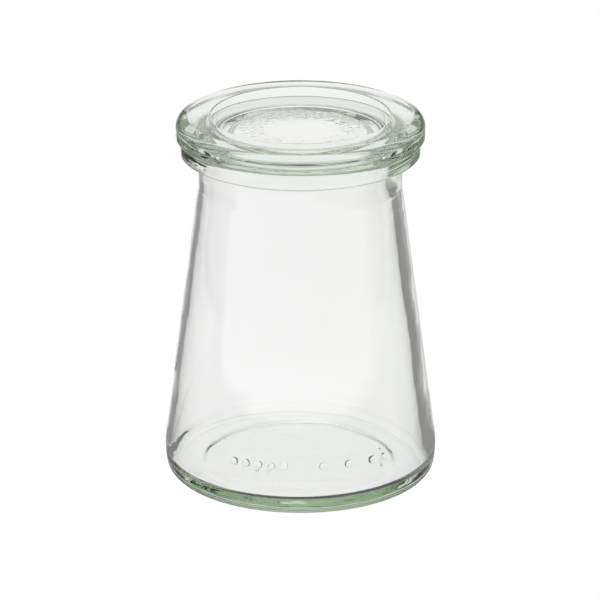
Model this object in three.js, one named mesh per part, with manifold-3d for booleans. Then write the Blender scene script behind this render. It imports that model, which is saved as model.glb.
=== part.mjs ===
// A small preserving jar of clear, slightly green glass: a cone-shaped jar and its loose glass lid.
// Millimetres, +Z up. The origin is the centre of the ring that the jar stands on, and the row of
// moulded dots faces -Y.
import * as THREE from "three";
import { mergeVertices } from "three/addons/utils/BufferGeometryUtils.js";
import Module from "manifold-3d";

const wasm = await Module();
wasm.setup();

// Sizes that the rest follows from
const lidRadius = 35;
const lidTop = 106.2;
const rimTop = 99.3;
const flangeRadius = 33.7;
const neckRadius = 28.8;
const heelRadius = 38.86;
const wall = 2.8;
const floorTop = 4.6;
const restingGap = 0.3;

// Heights along the jar's outside
const heelHeight = 7.9;
const neckBottom = 85.5;
const neckTop = 93.7;
const flangeBottom = 95.1;

// The foot: a flat ring round a shallow push-up
const footRadius = 37.4;
const footCorner = 4.6;
const pushUpRadius = 27.6;
const pushUpStep = 1.2;
const pushUpHeight = 0.25;

// How each stretch of the jar is rounded into the next
const heelRound = 24;
const shoulderRound = 8;
const innerHeelRound = 2.5;
const neckRound = 1.2;
const rimRound = 0.7;
const smallRound = 0.6;

// The lid: a raised rim round a dished middle, with a ring below that drops into the mouth
const lidShoulder = 104.8;
const lidShoulderRound = 2.5;
const lidEdgeRound = 0.8;
const ridgeRadius = 31.8;
const ridgeRound = 1;
const dishTopRadius = 25.4;
const dishWallRadius = 24;
const dishFloor = 102;
const dishRound = 3.5;
const plugRadius = 25.1;
const plugBottom = 96.8;
const plugRound = 1;
const plugDraft = 0.4;
const hollowRadius = 20;
const hollowTop = 98.8;
const hollowDraft = 1;

// The moulded dots low on the front of the wall. Some places in the row are empty.
const dotPlaces = [0, 1, 2, 3, 4, 7, 9, 11, 12];
const dotPitch = 5.54;
const firstDotAngle = -29.1;
const dotHeight = 15.3;
const dotRadius = 1.15;
const dotRelief = 0.55;

// How finely round shapes are divided
const sidesAround = 56;
const degreesPerStep = 24;
const dotSides = 10;
const dotRings = 6;

const wallSlope = (heelRadius - neckRadius) / (neckBottom - heelHeight);

function outerWallRadius(height) {
  return heelRadius - wallSlope * (height - heelHeight);
}

// Turns corners, each a radius, a height and a rounding, into the points of a smooth outline.
function roundedOutline(corners) {
  const points = [];
  corners.forEach(([radius, height, rounding], index) => {
    const corner = new THREE.Vector2(radius, height);
    if (!rounding) {
      points.push(corner);
      return;
    }
    const [before, after] = [index - 1, index + 1].map((other) =>
      new THREE.Vector2(corners[other][0], corners[other][1]).sub(corner).normalize(),
    );
    const turn = Math.PI - Math.acos(before.dot(after));
    const reach = rounding * Math.tan(turn / 2);
    const middle = before.clone().add(after).normalize();
    const centre = corner.clone().addScaledVector(middle, rounding / Math.cos(turn / 2));
    const start = corner.clone().addScaledVector(before, reach).sub(centre);
    const side = Math.sign(start.cross(corner.clone().addScaledVector(after, reach).sub(centre)));
    const steps = Math.ceil(THREE.MathUtils.radToDeg(turn) / degreesPerStep);
    for (let step = 0; step <= steps; step += 1) {
      const turned = start.clone().rotateAround(new THREE.Vector2(), (side * turn * step) / steps);
      points.push(turned.add(centre));
    }
  });
  return points;
}

// Spins an outline round the +Z axis.
function turnedSolid(corners) {
  const geometry = new THREE.LatheGeometry(roundedOutline(corners), sidesAround);
  geometry.rotateX(Math.PI / 2);
  return geometry;
}

function bareGeometry(geometry) {
  const bare = geometry.clone();
  bare.deleteAttribute("normal");
  bare.deleteAttribute("uv");
  return mergeVertices(bare, 1e-4);
}

function toSolid(geometry) {
  const merged = bareGeometry(geometry);
  return new wasm.Manifold(
    new wasm.Mesh({
      numProp: 3,
      vertProperties: new Float32Array(merged.attributes.position.array),
      triVerts: new Uint32Array(merged.index.array),
    }),
  );
}

function toGeometry(solid) {
  const mesh = solid.getMesh();
  const geometry = new THREE.BufferGeometry();
  geometry.setAttribute("position", new THREE.BufferAttribute(mesh.vertProperties, 3));
  geometry.setIndex(new THREE.BufferAttribute(mesh.triVerts, 1));
  geometry.computeVertexNormals();
  return geometry;
}

// A low round bump centred on the sloping wall at an angle from the front.
function dotGeometry(degreesFromFront) {
  const geometry = new THREE.SphereGeometry(1, dotSides, dotRings);
  geometry.scale(dotRadius, dotRelief, dotRadius);
  geometry.rotateX(-Math.atan(wallSlope));
  geometry.translate(0, -outerWallRadius(dotHeight), dotHeight);
  geometry.rotateZ(THREE.MathUtils.degToRad(degreesFromFront));
  return geometry;
}

function jarGeometry() {
  const mouthRadius = neckRadius - wall;
  const innerHeelRadius = outerWallRadius(floorTop) - wall;
  const body = turnedSolid([
    [0, pushUpHeight],
    [pushUpRadius - pushUpStep, pushUpHeight],
    [pushUpRadius, 0],
    [footRadius, 0, footCorner],
    [heelRadius, heelHeight, heelRound],
    [neckRadius, neckBottom, shoulderRound],
    [neckRadius, neckTop, neckRound],
    [flangeRadius, flangeBottom, rimRound],
    [flangeRadius, rimTop, rimRound],
    [mouthRadius, rimTop, rimRound],
    [mouthRadius, neckBottom, shoulderRound],
    [innerHeelRadius, floorTop, innerHeelRound],
    [0, floorTop],
  ]);
  const dots = dotPlaces.map((place) => toSolid(dotGeometry(firstDotAngle + place * dotPitch)));
  return toGeometry(dots.reduce((solid, dot) => solid.add(dot), toSolid(body)));
}

function lidGeometry() {
  const land = rimTop + restingGap;
  return turnedSolid([
    [0, hollowTop],
    [hollowRadius - hollowDraft, hollowTop, plugRound],
    [hollowRadius, plugBottom, plugRound],
    [plugRadius - plugDraft, plugBottom, plugRound],
    [plugRadius, land, smallRound],
    [lidRadius, land, lidEdgeRound],
    [lidRadius, lidShoulder, lidShoulderRound],
    [ridgeRadius, lidTop, ridgeRound],
    [dishTopRadius, lidTop, smallRound],
    [dishWallRadius, dishFloor, dishRound],
    [0, dishFloor],
  ]);
}

function glass(name) {
  return new THREE.MeshStandardMaterial({ name, color: 0xe4ede6, roughness: 0.04, metalness: 0 });
}

function part(name, geometry) {
  const mesh = new THREE.Mesh(geometry, glass(`${name}_glass`));
  mesh.name = name;
  return mesh;
}

const preservingJar = new THREE.Group();
preservingJar.add(part("jar", jarGeometry()));
preservingJar.add(part("lid", lidGeometry()));

export default preservingJar;
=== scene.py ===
"""A small preserving jar of clear greenish glass with its loose glass lid, on a white studio floor.

Both pieces are turned from an outline: its corners are drawn in edit mode, rounded with a vertex
bevel and spun round the axis. The knurled foot, the moulded dots, the stippled lid and the uneven
inside of pressed glass are worked in after.
"""

import math

import bpy
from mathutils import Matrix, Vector, noise


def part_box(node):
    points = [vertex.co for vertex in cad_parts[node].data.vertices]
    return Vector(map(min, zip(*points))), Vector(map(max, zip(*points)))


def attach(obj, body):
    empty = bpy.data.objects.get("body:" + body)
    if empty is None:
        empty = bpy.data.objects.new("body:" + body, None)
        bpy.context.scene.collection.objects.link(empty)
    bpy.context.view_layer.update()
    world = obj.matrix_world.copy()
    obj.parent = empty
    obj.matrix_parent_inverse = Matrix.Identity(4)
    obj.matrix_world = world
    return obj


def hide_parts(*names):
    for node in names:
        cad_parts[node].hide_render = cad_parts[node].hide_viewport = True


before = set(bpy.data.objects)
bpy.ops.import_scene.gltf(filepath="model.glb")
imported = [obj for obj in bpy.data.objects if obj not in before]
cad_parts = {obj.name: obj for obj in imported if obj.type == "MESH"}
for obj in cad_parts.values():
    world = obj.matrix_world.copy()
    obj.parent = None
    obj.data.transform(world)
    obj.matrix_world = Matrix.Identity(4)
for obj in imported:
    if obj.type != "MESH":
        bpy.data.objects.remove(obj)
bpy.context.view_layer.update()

MM = 0.001

# Sizes of the two glass pieces, read from the frame
_, jar_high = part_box("jar")
_, lid_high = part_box("lid")
rim_top = jar_high.z
lid_radius = lid_high.x
lid_top = lid_high.z

# The jar's outside, from the neck down
flange_radius = 33.7 * MM
neck_radius = 28.8 * MM
heel_radius = 38.86 * MM
wall = 2.8 * MM
flange_bottom = 95.1 * MM
neck_top = 93.7 * MM
neck_bottom = 85.5 * MM
heel_height = 7.9 * MM

# The jar's floor and foot
floor_top = 4.6 * MM
foot_radius = 37.4 * MM
foot_corner = 4.6 * MM
push_up_radius = 27.6 * MM
push_up_step = 1.2 * MM
push_up_height = 0.25 * MM

# Roundings
heel_round = 24 * MM
shoulder_round = 8 * MM
inner_heel_round = 2.5 * MM
push_up_round = 2 * MM
neck_round = 1.2 * MM
rim_round = 0.7 * MM
small_round = 0.6 * MM

# The lid
resting_gap = 0.3 * MM
lid_shoulder = 104.8 * MM
lid_shoulder_round = 2.5 * MM
lid_edge_round = 0.8 * MM
ridge_radius = 31.8 * MM
ridge_round = 1 * MM
dish_top_radius = 25.4 * MM
dish_wall_radius = 24 * MM
dish_floor = 102 * MM
dish_round = 3.5 * MM
plug_radius = 25.1 * MM
plug_bottom = 96.8 * MM
plug_round = 1 * MM
plug_draft = 0.4 * MM
hollow_radius = 20 * MM
hollow_top = 98.8 * MM
hollow_draft = 1 * MM

# Stippling on the floor of the lid's dish
stipple_inner = 10 * MM
stipple_outer = 18 * MM
stipple_pitch = 1.1 * MM
stipple_depth = 0.07 * MM
stipple_step = 0.4 * MM
dish_flatness = small_round / 10

# Moulded dots low on the front, some places in the row empty
dot_places = (0, 1, 2, 3, 4, 7, 9, 11, 12)
dot_pitch = math.radians(5.54)
first_dot = math.radians(-29.1)
dot_height = 15.3 * MM
dot_radius = 1.15 * MM
dot_relief = 0.85 * MM
dot_squareness = 4

# Finely divided wall round each dot: a wide patch, then a narrow one in it
patch_reaches = (2.2 * dot_radius, 1.3 * dot_radius)
patch_cuts = (3, 4)
patch_facing = 0.5
rounded_band = 3 * dot_radius

# Knurling on the ring that the jar stands on
knurl_inner = 31.5 * MM
knurl_outer = 34 * MM
knurl_depth = 0.15 * MM
ground_level = 0.1 * MM

# The inside of the jar, off centre and a little wavy
inside_aside = 0.78 * MM
inside_returns_from = 89 * MM
wave_length = 15 * MM
wave_depth = 0.05 * MM
near_axis = 1 * MM

# How finely the glass is divided
sides_around = 224
degrees_per_step = 5
fewest_steps = 2
longest_step = 1.8 * MM
round_profile = 0.5

# How near in metres two points, or two middles of edges, count as the same
same_point = 1e-6
same_middle = 1e-7

# How fast the glass takes up each colour, per metre. At full_loss a channel of its tint would be 0.
red_loss = 5
green_loss = 3.2
blue_loss = 5.8
full_loss = 20
glass_ior = 1.52

# The surface of each glass
jar_surface = {
    "Waves per Metre": 60,
    "Wave Depth": 0.12,
    "Marks per Metre": 900,
    "Rubbed Roughness": 0.03,
}
lid_surface = {
    "Waves per Metre": 80,
    "Wave Depth": 0.06,
    "Marks per Metre": 1100,
    "Rubbed Roughness": 0.03,
}

# What the surfaces share
wave_detail = 2
mark_detail = 4
wave_height = 1 * MM
rubbed_from = 0.62
rubbed_to = 0.8
mottled_tone = 0.99

# The studio floor. Only light mirrored in the glass sees its cards, and Y is negative in front.
floor_radius = 3
floor_sides = 96
floor_drop = 0.5 * MM
mirrored_depth = 0.5
grey_card = 0.28
front_card = 0.1
front_card_from = -60 * MM
front_card_to = -10 * MM
near_card = 0.1
near_card_centre = -45 * MM
near_card_radius = 40 * MM
near_card_fade = 20 * MM
far_card = 0.5
far_card_edge = 300 * MM
far_card_fade = 100 * MM
far_front_card = 0.9
far_front_edge = 240 * MM
far_front_fade = 40 * MM
far_front_from = -100 * MM
far_front_to = -60 * MM

# The gap behind the jar where no card lies
gap_half_width = 38 * MM
gap_spread_right = 0.25
gap_spread_left = 0.3
gap_start_fade = 40 * MM
gap_edge_fade = 5 * MM

# The light above the floor, by degrees above the horizon and by how far back a direction points
horizon_light = 0.05
top_light_from = 15
top_light_to = 35
back_light = 1.05
back_light_from = 8
back_light_to = 16
back_side_from = -0.3
back_side_to = 0.1
light_bounces = 32

# The camera
camera_height_angle = math.radians(20)
camera_distance = 1.5
camera_near = 0.1
camera_far = 20
look_height = 51.02 * MM
pixels_per_metre = 3530
picture_pixels = 600
axis_pixel = 300.5
film_width = 36


def select_only(piece):
    bpy.ops.object.select_all(action="DESELECT")
    piece.select_set(True)
    bpy.context.view_layer.objects.active = piece


def select_points(piece, wanted):
    """In edit mode, selects just the vertices for which wanted(place) holds."""
    bpy.ops.mesh.select_all(action="DESELECT")
    bpy.ops.object.mode_set(mode="OBJECT")
    for vertex in piece.data.vertices:
        vertex.select = bool(wanted(vertex.co))
    bpy.ops.object.mode_set(mode="EDIT")


def start_at(name, place):
    """Starts a mesh as one point: a small plane merged to its centre."""
    bpy.ops.object.select_all(action="DESELECT")
    bpy.ops.mesh.primitive_plane_add(size=MM, location=(0, 0, 0))
    piece = bpy.context.object
    piece.name = name
    piece.data.name = name
    bpy.ops.object.mode_set(mode="EDIT")
    bpy.ops.mesh.select_all(action="SELECT")
    bpy.ops.mesh.merge(type="CENTER")
    bpy.ops.transform.translate(value=place)
    return piece


def round_corner(piece, corners, index):
    """Bevels one corner of a drawn outline to its rounding."""
    here, before, after = (Vector(corners[i][:2]) for i in (index, index - 1, index + 1))
    turn = math.pi - (before - here).angle(after - here)
    reach = corners[index][2] * math.tan(turn / 2)
    steps = max(fewest_steps, math.ceil(math.degrees(turn) / degrees_per_step))
    corner = Vector((here.x, 0, here.y))
    select_points(piece, lambda place: (place - corner).length < same_point)
    bpy.ops.mesh.bevel(affect="VERTICES", offset=reach, segments=steps, profile=round_profile)


def edge_ends(mesh, edge):
    return [mesh.vertices[index].co for index in edge.vertices]


def edge_middle(mesh, edge):
    first, last = edge_ends(mesh, edge)
    return (first + last) / 2


def divide_edges(piece, step_at):
    """Cuts each straight stretch of the outline into steps no longer than step_at(middle) allows."""
    bpy.ops.object.mode_set(mode="OBJECT")
    mesh = piece.data
    middles_for_cuts = {}
    for edge in mesh.edges:
        first, last = edge_ends(mesh, edge)
        middle = edge_middle(mesh, edge)
        cuts = int((first - last).length / step_at(middle))
        if cuts > 0:
            middles_for_cuts.setdefault(cuts, []).append(middle)
    bpy.ops.object.mode_set(mode="EDIT")
    for cuts, middles in middles_for_cuts.items():
        bpy.ops.mesh.select_all(action="DESELECT")
        bpy.ops.object.mode_set(mode="OBJECT")
        for edge in mesh.edges:
            middle = edge_middle(mesh, edge)
            edge.select = any((middle - other).length < same_middle for other in middles)
        bpy.ops.object.mode_set(mode="EDIT")
        bpy.ops.mesh.select_mode(type="EDGE")
        bpy.ops.mesh.subdivide(number_cuts=cuts)
        bpy.ops.mesh.select_mode(type="VERT")


def turned_piece(name, corners, step_at=lambda middle: longest_step):
    """Draws an outline of (radius, height, rounding) corners, rounds it and spins it into a solid."""
    places = [Vector((radius, 0, height)) for radius, height, _ in corners]
    piece = start_at(name, places[0])
    for before, place in zip(places, places[1:]):
        bpy.ops.mesh.extrude_region_move(TRANSFORM_OT_translate={"value": place - before})
    for index, corner in enumerate(corners):
        if corner[2]:
            round_corner(piece, corners, index)
    divide_edges(piece, step_at)
    bpy.ops.mesh.select_all(action="SELECT")
    bpy.ops.mesh.spin(steps=sides_around, angle=math.tau, center=(0, 0, 0), axis=(0, 0, 1))
    bpy.ops.mesh.select_all(action="SELECT")
    bpy.ops.mesh.remove_doubles(threshold=same_point)
    bpy.ops.mesh.normals_make_consistent(inside=False)
    bpy.ops.object.mode_set(mode="OBJECT")
    return piece


def outer_wall(height):
    """The radius of the jar's sloping wall at a height, before its roundings."""
    slope = (heel_radius - neck_radius) / (neck_bottom - heel_height)
    return heel_radius - slope * (height - heel_height)


def knurl_foot(piece):
    """Presses fine radial grooves into the ring that the jar stands on."""
    step = math.tau / sides_around

    def in_groove(place):
        reach = math.hypot(place.x, place.y)
        side = round(math.atan2(place.y, place.x) / step)
        return side % 2 == 1 and knurl_inner < reach < knurl_outer and place.z < ground_level

    select_only(piece)
    bpy.ops.object.mode_set(mode="EDIT")
    select_points(piece, in_groove)
    bpy.ops.transform.translate(value=(0, 0, knurl_depth))
    bpy.ops.object.mode_set(mode="OBJECT")


def dot_centre(angle):
    reach = outer_wall(dot_height)
    return Vector((reach * math.sin(angle), -reach * math.cos(angle), dot_height))


def outward_at(angle):
    """The level direction out of the wall at an angle from the front."""
    return Vector((math.sin(angle), -math.cos(angle), 0))


def divide_near(piece, angle, reach, cuts):
    """Divides the outward faces of a piece within reach of a dot's centre."""
    centre = dot_centre(angle)
    outward = outward_at(angle)
    bpy.ops.object.mode_set(mode="EDIT")
    bpy.ops.mesh.select_mode(type="FACE")
    bpy.ops.mesh.select_all(action="DESELECT")
    bpy.ops.object.mode_set(mode="OBJECT")
    for face in piece.data.polygons:
        near = (face.center - centre).length < reach
        face.select = near and face.normal.dot(outward) > patch_facing
    bpy.ops.object.mode_set(mode="EDIT")
    bpy.ops.mesh.subdivide(number_cuts=cuts)
    bpy.ops.mesh.select_mode(type="VERT")
    bpy.ops.object.mode_set(mode="OBJECT")


def round_wall(piece):
    """Moves points of the divided wall out from its flat facets onto the round of the wall."""
    step = math.tau / sides_around
    for vertex in piece.data.vertices:
        place = vertex.co
        on_wall = math.hypot(place.x, place.y) > outer_wall(place.z) - wall / 2
        if on_wall and abs(place.z - dot_height) < rounded_band:
            from_middle = math.atan2(place.y, place.x) % step - step / 2
            grown = math.cos(from_middle) / math.cos(step / 2)
            vertex.co = Vector((place.x * grown, place.y * grown, place.z))


def raise_dot(piece, angle):
    """Swells the wall out round a dot's centre, with steep sides."""
    centre = dot_centre(angle)
    outward = outward_at(angle)
    power = 2 / dot_squareness
    for vertex in piece.data.vertices:
        offset = vertex.co - centre
        aside = offset.length / dot_radius
        if 0 < aside < 1:
            turn = aside * math.pi / 2
            spread = math.sin(turn) ** power / aside
            vertex.co = centre + offset * spread + outward * dot_relief * math.cos(turn) ** power


def raise_dots(piece):
    """Divides the wall finely round each dot, makes it round there, and raises the dots.

    A known fault: several of the dots come out misshapen. Dots next to each other share faces, which
    are divided again for each of them.
    """
    angles = [first_dot + place * dot_pitch for place in dot_places]
    for reach, cuts in zip(patch_reaches, patch_cuts):
        for angle in angles:
            divide_near(piece, angle, reach, cuts)
    round_wall(piece)
    for angle in angles:
        raise_dot(piece, angle)


def unsettle_inside(piece):
    """Moves the jar's inside off centre, but not at its mouth, and gives it slight waves."""
    for vertex in piece.data.vertices:
        place = vertex.co
        reach = math.hypot(place.x, place.y)
        inside = reach < max(outer_wall(place.z), neck_radius) - wall / 2
        if not inside or place.z < floor_top - small_round or place.z > rim_top - wall:
            continue
        share = min(1, max(0, (rim_top - wall - place.z) / (rim_top - wall - inside_returns_from)))
        wave = noise.noise(place / wave_length) * wave_depth
        out = Vector((place.x, place.y, 0)) / max(reach, near_axis)
        low = place.z < floor_top + small_round
        vertex.co = place + (Vector((0, 0, wave)) if low else out * wave) * share
        vertex.co.x -= inside_aside * share


def stipple_dish(piece):
    """Roughens a ring on the floor of the lid's dish with fine shallow dimples."""
    for vertex in piece.data.vertices:
        place = vertex.co
        reach = math.hypot(place.x, place.y)
        if abs(place.z - dish_floor) > dish_flatness or not stipple_inner < reach < stipple_outer:
            continue
        fade = min(reach - stipple_inner, stipple_outer - reach, stipple_pitch) / stipple_pitch
        vertex.co.z += noise.noise(place / stipple_pitch) * stipple_depth * fade


def make_jar():
    mouth_radius = neck_radius - wall
    inner_heel = outer_wall(floor_top) - wall
    jar = turned_piece(
        "glass_jar",
        [
            (0, push_up_height, 0),
            (push_up_radius - push_up_step, push_up_height, push_up_round),
            (push_up_radius, 0, push_up_round),
            (foot_radius, 0, foot_corner),
            (heel_radius, heel_height, heel_round),
            (neck_radius, neck_bottom, shoulder_round),
            (neck_radius, neck_top, neck_round),
            (flange_radius, flange_bottom, rim_round),
            (flange_radius, rim_top, rim_round),
            (mouth_radius, rim_top, rim_round),
            (mouth_radius, neck_bottom, shoulder_round),
            (inner_heel, floor_top, inner_heel_round),
            (0, floor_top, 0),
        ],
    )
    knurl_foot(jar)
    unsettle_inside(jar)
    raise_dots(jar)
    return jar


def make_lid():
    land = rim_top + resting_gap

    def step_at(middle):
        on_dish = abs(middle.z - dish_floor) < small_round and middle.x < dish_wall_radius
        return stipple_step if on_dish else longest_step

    lid = turned_piece(
        "glass_lid",
        [
            (0, hollow_top, 0),
            (hollow_radius - hollow_draft, hollow_top, plug_round),
            (hollow_radius, plug_bottom, plug_round),
            (plug_radius - plug_draft, plug_bottom, plug_round),
            (plug_radius, land, small_round),
            (lid_radius, land, lid_edge_round),
            (lid_radius, lid_shoulder, lid_shoulder_round),
            (ridge_radius, lid_top, ridge_round),
            (dish_top_radius, lid_top, small_round),
            (dish_wall_radius, dish_floor, dish_round),
            (0, dish_floor, 0),
        ],
        step_at,
    )
    stipple_dish(lid)
    return lid


def feed(tree, socket, value):
    """Sets a socket to a plain number, or links another socket to it."""
    if isinstance(value, (int, float)):
        socket.default_value = value
    else:
        tree.links.new(value, socket)


def calculate(tree, operation, first, second):
    """A Math node on sockets or plain numbers."""
    node = tree.nodes.new("ShaderNodeMath")
    node.operation = operation
    for socket, value in zip(node.inputs, (first, second)):
        feed(tree, socket, value)
    return node.outputs["Value"]


def mixed(tree, factor, first, second):
    """The first value where the factor is 0, and the second where it is 1."""
    node = tree.nodes.new("ShaderNodeMix")
    tree.links.new(factor, node.inputs["Factor"])
    feed(tree, node.inputs["A"], first)
    feed(tree, node.inputs["B"], second)
    return node.outputs["Result"]


def ramp(tree, value, start, end, at_start, at_end):
    """Goes evenly from at_start to at_end as the value goes from start to end, and no further."""
    node = tree.nodes.new("ShaderNodeMapRange")
    settings = (("From Min", start), ("From Max", end), ("To Min", at_start), ("To Max", at_end))
    for name, number in settings:
        node.inputs[name].default_value = number
    tree.links.new(value, node.inputs["Value"])
    return node.outputs["Result"]


def places_in(tree, output):
    """The coordinates of a point as three sockets and the vector itself."""
    coordinates = tree.nodes.new("ShaderNodeTexCoord").outputs[output]
    parts = tree.nodes.new("ShaderNodeSeparateXYZ")
    tree.links.new(coordinates, parts.inputs["Vector"])
    return parts.outputs, coordinates


def distance_from(tree, place, y):
    """How far a place is from a point on the floor, y metres behind the jar."""
    node = tree.nodes.new("ShaderNodeVectorMath")
    node.operation = "DISTANCE"
    tree.links.new(place, node.inputs[0])
    node.inputs[1].default_value = (0, y, 0)
    return node.outputs["Value"]


def make_glass_waves():
    """A node group shared by both glasses: waves, faint mottling and rubbed marks of pressed glass."""
    group = bpy.data.node_groups.new("pressed_glass", "ShaderNodeTree")
    for name, value in jar_surface.items():
        socket = group.interface.new_socket(name=name, in_out="INPUT", socket_type="NodeSocketFloat")
        socket.default_value = value
    group.interface.new_socket(name="Color", in_out="OUTPUT", socket_type="NodeSocketColor")
    group.interface.new_socket(name="Roughness", in_out="OUTPUT", socket_type="NodeSocketFloat")
    group.interface.new_socket(name="Normal", in_out="OUTPUT", socket_type="NodeSocketVector")
    given = group.nodes.new("NodeGroupInput").outputs
    result = group.nodes.new("NodeGroupOutput").inputs
    place = group.nodes.new("ShaderNodeTexCoord").outputs["Object"]

    def clouds(per_metre, detail):
        node = group.nodes.new("ShaderNodeTexNoise")
        node.inputs["Detail"].default_value = detail
        group.links.new(place, node.inputs["Vector"])
        group.links.new(per_metre, node.inputs["Scale"])
        return node.outputs["Fac"]

    waves = clouds(given["Waves per Metre"], wave_detail)
    marks = clouds(given["Marks per Metre"], mark_detail)
    rub = ramp(group, marks, rubbed_from, rubbed_to, 0, 1)
    group.links.new(calculate(group, "MULTIPLY", rub, given["Rubbed Roughness"]), result["Roughness"])
    bump = group.nodes.new("ShaderNodeBump")
    bump.inputs["Distance"].default_value = wave_height
    group.links.new(waves, bump.inputs["Height"])
    group.links.new(given["Wave Depth"], bump.inputs["Strength"])
    group.links.new(bump.outputs["Normal"], result["Normal"])
    tone = group.nodes.new("ShaderNodeMix")
    tone.data_type = "RGBA"
    group.links.new(waves, tone.inputs["Factor"])
    clear, tinted = (socket for socket in tone.inputs if socket.type == "RGBA")
    clear.default_value = (1, 1, 1, 1)
    tinted.default_value = (mottled_tone, mottled_tone, mottled_tone, 1)
    shade = next(socket for socket in tone.outputs if socket.type == "RGBA")
    group.links.new(shade, result["Color"])
    return group


def glass_material(name, group, surface):
    """Clear glass with the shared group's surface, and its green as absorption in the volume."""
    material = bpy.data.materials.new(name)
    material.use_nodes = True
    nodes, links = material.node_tree.nodes, material.node_tree.links
    shader = nodes["Principled BSDF"]
    shader.inputs["IOR"].default_value = glass_ior
    shader.inputs["Transmission Weight"].default_value = 1
    pressed = nodes.new("ShaderNodeGroup")
    pressed.node_tree = group
    for setting, value in surface.items():
        pressed.inputs[setting].default_value = value
    links.new(pressed.outputs["Color"], shader.inputs["Base Color"])
    links.new(pressed.outputs["Roughness"], shader.inputs["Roughness"])
    links.new(pressed.outputs["Normal"], shader.inputs["Normal"])
    tint = nodes.new("ShaderNodeVolumeAbsorption")
    kept = [1 - loss / full_loss for loss in (red_loss, green_loss, blue_loss)]
    tint.inputs["Color"].default_value = (*kept, 1)
    tint.inputs["Density"].default_value = full_loss
    links.new(tint.outputs["Volume"], nodes["Material Output"].inputs["Volume"])
    return material


def finish_glass(piece, node, material):
    select_only(piece)
    bpy.ops.object.shade_smooth()
    piece.data.materials.append(material)
    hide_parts(node)
    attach(piece, "root")


def glow_white_or(tree, strength, kind, output):
    """White for light that only passed through glass, the given strength for light mirrored in it."""
    path = tree.nodes.new("ShaderNodeLightPath")
    mirrored = calculate(tree, "GREATER_THAN", path.outputs["Glossy Depth"], mirrored_depth)
    glow = tree.nodes.new(kind)
    tree.links.new(mixed(tree, mirrored, 1, strength), glow.inputs["Strength"])
    tree.links.new(glow.outputs[0], output.inputs["Surface"])


def gap_behind(tree, parts):
    """1 in a widening gap behind the jar where no card lies, 0 beside it."""
    behind = calculate(tree, "MAXIMUM", parts["Y"], 0)
    gap = ramp(tree, parts["Y"], 0, gap_start_fade, 0, 1)
    for side, spread in ((1, gap_spread_right), (-1, gap_spread_left)):
        reach = calculate(tree, "MULTIPLY", parts["X"], side)
        past = calculate(tree, "SUBTRACT", reach, calculate(tree, "MULTIPLY", behind, spread))
        edge = ramp(tree, past, gap_half_width - gap_edge_fade, gap_half_width + gap_edge_fade, 1, 0)
        gap = calculate(tree, "MINIMUM", gap, edge)
    return gap


def make_floor():
    """A floor that is white, but shows mirrored light grey cards round the jar and a gap behind it."""
    bpy.ops.object.select_all(action="DESELECT")
    bpy.ops.mesh.primitive_circle_add(
        vertices=floor_sides, radius=floor_radius, fill_type="NGON", location=(0, 0, -floor_drop)
    )
    floor = bpy.context.object
    floor.name = "studio_floor"
    material = bpy.data.materials.new("white_floor")
    material.use_nodes = True
    tree = material.node_tree
    tree.nodes.remove(tree.nodes["Principled BSDF"])
    parts, place = places_in(tree, "Object")
    away = distance_from(tree, place, 0)
    card = ramp(tree, parts["Y"], front_card_from, front_card_to, front_card, grey_card)
    from_near = distance_from(tree, place, near_card_centre)
    near = ramp(tree, from_near, near_card_radius, near_card_radius + near_card_fade, 1, 0)
    card = mixed(tree, near, card, near_card)
    far = ramp(tree, away, far_card_edge, far_card_edge + far_card_fade, 0, far_card)
    front = ramp(tree, away, far_front_edge, far_front_edge + far_front_fade, 0, far_front_card)
    in_front = ramp(tree, parts["Y"], far_front_from, far_front_to, 1, 0)
    far = calculate(tree, "MAXIMUM", far, calculate(tree, "MULTIPLY", front, in_front))
    card = calculate(tree, "MAXIMUM", card, far)
    card = calculate(tree, "MAXIMUM", card, gap_behind(tree, parts))
    glow_white_or(tree, card, "ShaderNodeEmission", tree.nodes["Material Output"])
    floor.data.materials.append(material)


def rise(angle):
    """The height of a direction on a sphere of radius 1."""
    return math.sin(math.radians(angle))


def make_world():
    """White all round, but to mirrored light dark low in front, and bright above, behind and beside."""
    scene = bpy.context.scene
    world = bpy.data.worlds.new("studio")
    scene.world = world
    world.use_nodes = True
    tree = world.node_tree
    tree.nodes.remove(tree.nodes["Background"])
    parts, _ = places_in(tree, "Generated")
    light = ramp(tree, parts["Z"], rise(top_light_from), rise(top_light_to), horizon_light, 1)
    back = ramp(tree, parts["Y"], back_side_from, back_side_to, 0, back_light)
    above = ramp(tree, parts["Z"], rise(back_light_from), rise(back_light_to), 0, 1)
    light = calculate(tree, "MAXIMUM", light, calculate(tree, "MULTIPLY", back, above))
    glow_white_or(tree, light, "ShaderNodeBackground", tree.nodes["World Output"])
    scene.view_settings.view_transform = "Standard"
    scene.cycles.max_bounces = light_bounces
    scene.cycles.transmission_bounces = light_bounces
    scene.cycles.glossy_bounces = light_bounces


def make_camera():
    data = bpy.data.cameras.new("camera")
    camera = bpy.data.objects.new("camera", data)
    scene = bpy.context.scene
    scene.collection.objects.link(camera)
    aside = (picture_pixels / 2 - axis_pixel) / pixels_per_metre
    target = Vector((aside, 0, look_height))
    away = Vector((0, -math.cos(camera_height_angle), math.sin(camera_height_angle)))
    camera.location = target + away * camera_distance
    camera.rotation_mode = "QUATERNION"
    camera.rotation_quaternion = (-away).to_track_quat("-Z", "Y")
    data.sensor_width = film_width
    data.lens = film_width * pixels_per_metre * camera_distance / picture_pixels
    data.clip_start = camera_near
    data.clip_end = camera_far
    scene.camera = camera


make_camera()
pressed_glass = make_glass_waves()
jar_glass = glass_material("jar_glass_pressed", pressed_glass, jar_surface)
lid_glass = glass_material("lid_glass_pressed", pressed_glass, lid_surface)
finish_glass(make_jar(), "jar", jar_glass)
finish_glass(make_lid(), "lid", lid_glass)
make_floor()
make_world()
